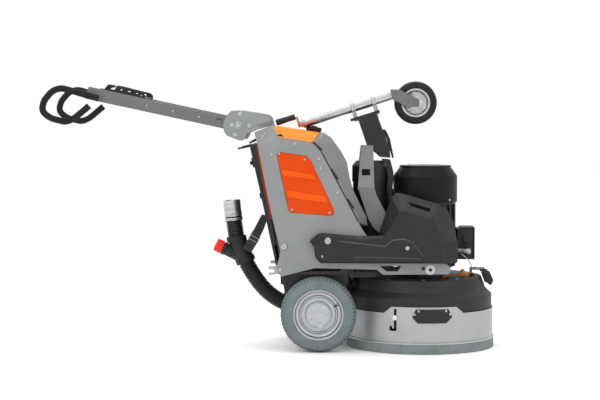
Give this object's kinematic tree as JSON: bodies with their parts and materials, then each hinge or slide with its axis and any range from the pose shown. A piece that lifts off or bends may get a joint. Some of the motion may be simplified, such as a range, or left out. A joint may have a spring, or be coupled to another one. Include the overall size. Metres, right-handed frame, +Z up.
{
  "type": "concrete grinder",
  "caption": "Walk-behind planetary concrete floor grinder with a folding handle, drive wheels, a lifting dust skirt and a swing-over transport arm.",
  "frame": {"origin": "on the floor under the middle of the machine's box", "axes": "+X forwards to the grinding head, +Y the machine's left, +Z up"},
  "size_m": [2.0512, 0.679, 1.211],
  "materials": {
    "frame_grey": "satin",
    "cover_grey": "satin",
    "orange": "satin",
    "black_plastic": "textured",
    "black_paint": "satin",
    "dark_grey_paint": "satin",
    "galvanised": "zinc",
    "tube_chrome": "polished",
    "skirt_steel": "brushed",
    "grey_rubber": "matte",
    "grey_tyre": "matte",
    "black_rubber": "matte",
    "red_plastic": "gloss",
    "webbing": "woven",
    "cast": "cast",
    "disc_steel": "machined",
    "brass": "bright",
    "jockey_tyre": "matte"
  },
  "bodies": {
    "chassis": {"side_plate_left": "frame_grey", "side_plate_right": "frame_grey", "side_panels": "orange", "pivot_brackets": "frame_grey", "cabinet_shell": "black_paint", "inverter_unit": "cast", "rear_panel": "black_paint", "top_cover": "orange", "front_cover": "cover_grey", "side_cover_left": "black_plastic", "side_cover_right": "black_plastic", "base_frame": "galvanised", "axle_brackets": "black_paint", "pivot_pins": "galvanised", "tube_rest": "black_rubber", "hose_coupling": "tube_chrome", "hose_upper": "black_rubber", "hose_y_piece": "black_plastic", "hose_lower": "black_rubber", "hose_strap": "webbing"},
    "hose_cap": {"hose_cap": "red_plastic"},
    "main_switch": {"main_switch": "black_plastic"},
    "stop_button": {"stop_button": "red_plastic"},
    "wheel_left": {"tyre_left": "grey_tyre", "rim_left": "galvanised"},
    "wheel_right": {"tyre_right": "grey_tyre", "rim_right": "galvanised"},
    "hub_pin_left": {"hub_pin_left": "galvanised"},
    "hub_pin_right": {"hub_pin_right": "galvanised"},
    "handle": {"handle_frame": "dark_grey_paint", "handle_grips": "black_rubber", "remote_tray": "black_plastic"},
    "head": {"head_frame": "cast", "head_cover": "black_plastic", "skirt_knobs": "galvanised", "main_motor": "black_paint", "fan_cowl": "black_plastic", "terminal_box": "black_plastic", "planet_motor": "black_paint", "water_fitting": "brass", "lamp_bracket": "black_paint"},
    "lamp": {"work_lamp": "black_paint"},
    "skirt": {"skirt_ring": "skirt_steel", "skirt_rubber": "grey_rubber", "skirt_handles": "black_paint"},
    "rotor": {"motor_rotor": "cast"},
    "sun": {"sun_drum": "cast"},
    "carrier": {"planet_carrier": "cast", "drive_belts": "black_rubber"},
    "disc_1": {"grinding_disc_1": "disc_steel"},
    "disc_2": {"grinding_disc_2": "disc_steel"},
    "disc_3": {"grinding_disc_3": "disc_steel"},
    "arm": {"jockey_column": "black_paint", "jockey_legs": "dark_grey_paint", "jockey_tube": "tube_chrome"},
    "crank": {"jockey_crank": "disc_steel"},
    "stem": {"jockey_stem": "galvanised"},
    "fork": {"jockey_fork": "dark_grey_paint"},
    "jockey_wheel": {"jockey_wheel": "jockey_tyre"},
    "lever": {"arm_lever": "black_paint"}
  },
  "joints": [
    {"name": "handle_tilt", "type": "hinge", "parent": "chassis", "child": "handle", "pos_m": [-0.138, 0, 1.013], "axis": [0, 1, 0], "range_deg": [-25, 75]},
    {"name": "hose_cap_pull", "type": "slide", "parent": "chassis", "child": "hose_cap", "axis": [-0.8944, 0, 0.4472], "range_m": [0, 0.03]},
    {"name": "main_switch_turn", "type": "hinge", "parent": "chassis", "child": "main_switch", "pos_m": [-0.06887, -0.06, 0.842], "axis": [-0.9756, 0, -0.2194], "range_deg": [0, 90]},
    {"name": "stop_press", "type": "slide", "parent": "chassis", "child": "stop_button", "axis": [-0.9756, 0, -0.2194], "range_m": [-0.004, 0], "stiffness_N_per_m": 800},
    {"name": "wheel_spin_left", "type": "hinge", "parent": "chassis", "child": "wheel_left", "pos_m": [0.22, -0.255, 0.17], "axis": [0, 1, 0], "continuous": true},
    {"name": "hub_pin_pull_left", "type": "slide", "parent": "wheel_left", "child": "hub_pin_left", "axis": [0, -1, 0], "range_m": [0, 0.012]},
    {"name": "wheel_spin_right", "type": "hinge", "parent": "chassis", "child": "wheel_right", "pos_m": [0.22, 0.255, 0.17], "axis": [0, 1, 0], "continuous": true},
    {"name": "hub_pin_pull_right", "type": "slide", "parent": "wheel_right", "child": "hub_pin_right", "axis": [0, 1, 0], "range_m": [0, 0.012]},
    {"name": "head_tilt", "type": "hinge", "parent": "chassis", "child": "head", "pos_m": [0.719, 0, 0.368], "axis": [0, 1, 0], "range_deg": [-2, 2], "deforming": ["hose_lower"]},
    {"name": "lamp_tilt", "type": "hinge", "parent": "head", "child": "lamp", "pos_m": [0.99, 0, 0.335], "axis": [0, 1, 0], "range_deg": [-10, 10]},
    {"name": "skirt_lift", "type": "slide", "parent": "head", "child": "skirt", "axis": [0, 0, 1], "range_m": [0, 0.05]},
    {"name": "motor_spin", "type": "hinge", "parent": "head", "child": "rotor", "pos_m": [0.711, 0, 0.3], "axis": [0, 0, 1], "continuous": true},
    {"name": "sun_spin", "type": "hinge", "parent": "head", "child": "sun", "pos_m": [0.688, 0, 0.2], "axis": [0, 0, 1], "continuous": true},
    {"name": "planet_spin", "type": "hinge", "parent": "head", "child": "carrier", "pos_m": [0.688, 0, 0.15], "axis": [0, 0, 1], "continuous": true},
    {"name": "disc_spin_1", "type": "hinge", "parent": "carrier", "child": "disc_1", "pos_m": [0.873, 0, 0.05], "axis": [0, 0, 1], "continuous": true},
    {"name": "disc_spin_2", "type": "hinge", "parent": "carrier", "child": "disc_2", "pos_m": [0.5955, 0.16021, 0.05], "axis": [0, 0, 1], "continuous": true},
    {"name": "disc_spin_3", "type": "hinge", "parent": "carrier", "child": "disc_3", "pos_m": [0.5955, -0.16021, 0.05], "axis": [0, 0, 1], "continuous": true},
    {"name": "arm_swing", "type": "hinge", "parent": "chassis", "child": "arm", "pos_m": [0.719, 0, 0.368], "axis": [0, 1, 0], "range_deg": [0, 107.5]},
    {"name": "crank_turn", "type": "hinge", "parent": "arm", "child": "crank", "pos_m": [0.149, 0, 1.021], "axis": [0.9529, 0, 0.3032], "range_deg": [-130, 0]},
    {"name": "stem_extend", "type": "slide", "parent": "arm", "child": "stem", "axis": [0.9529, 0, 0.3032], "range_m": [0, 0.2]},
    {"name": "fork_swivel", "type": "hinge", "parent": "stem", "child": "fork", "pos_m": [0.5445, 0, 1.1468], "axis": [0.9529, 0, 0.3032], "continuous": true},
    {"name": "jockey_spin", "type": "hinge", "parent": "fork", "child": "jockey_wheel", "pos_m": [0.665, 0, 1.113], "axis": [0, 1, 0], "continuous": true},
    {"name": "lever_pull", "type": "hinge", "parent": "arm", "child": "lever", "pos_m": [0.523, 0, 0.984], "axis": [0, 1, 0], "range_deg": [-15, 0], "stiffness_Nm_per_rad": 2, "springref_deg": 5.73}
  ],
  "couplings": [
    {"joint": "sun_spin", "follows": "motor_spin", "ratio": 0.39474},
    {"joint": "disc_spin_1", "follows": "motor_spin", "ratio": 0.39474},
    {"joint": "disc_spin_2", "follows": "motor_spin", "ratio": 0.39474},
    {"joint": "disc_spin_3", "follows": "motor_spin", "ratio": 0.39474}
  ]
}
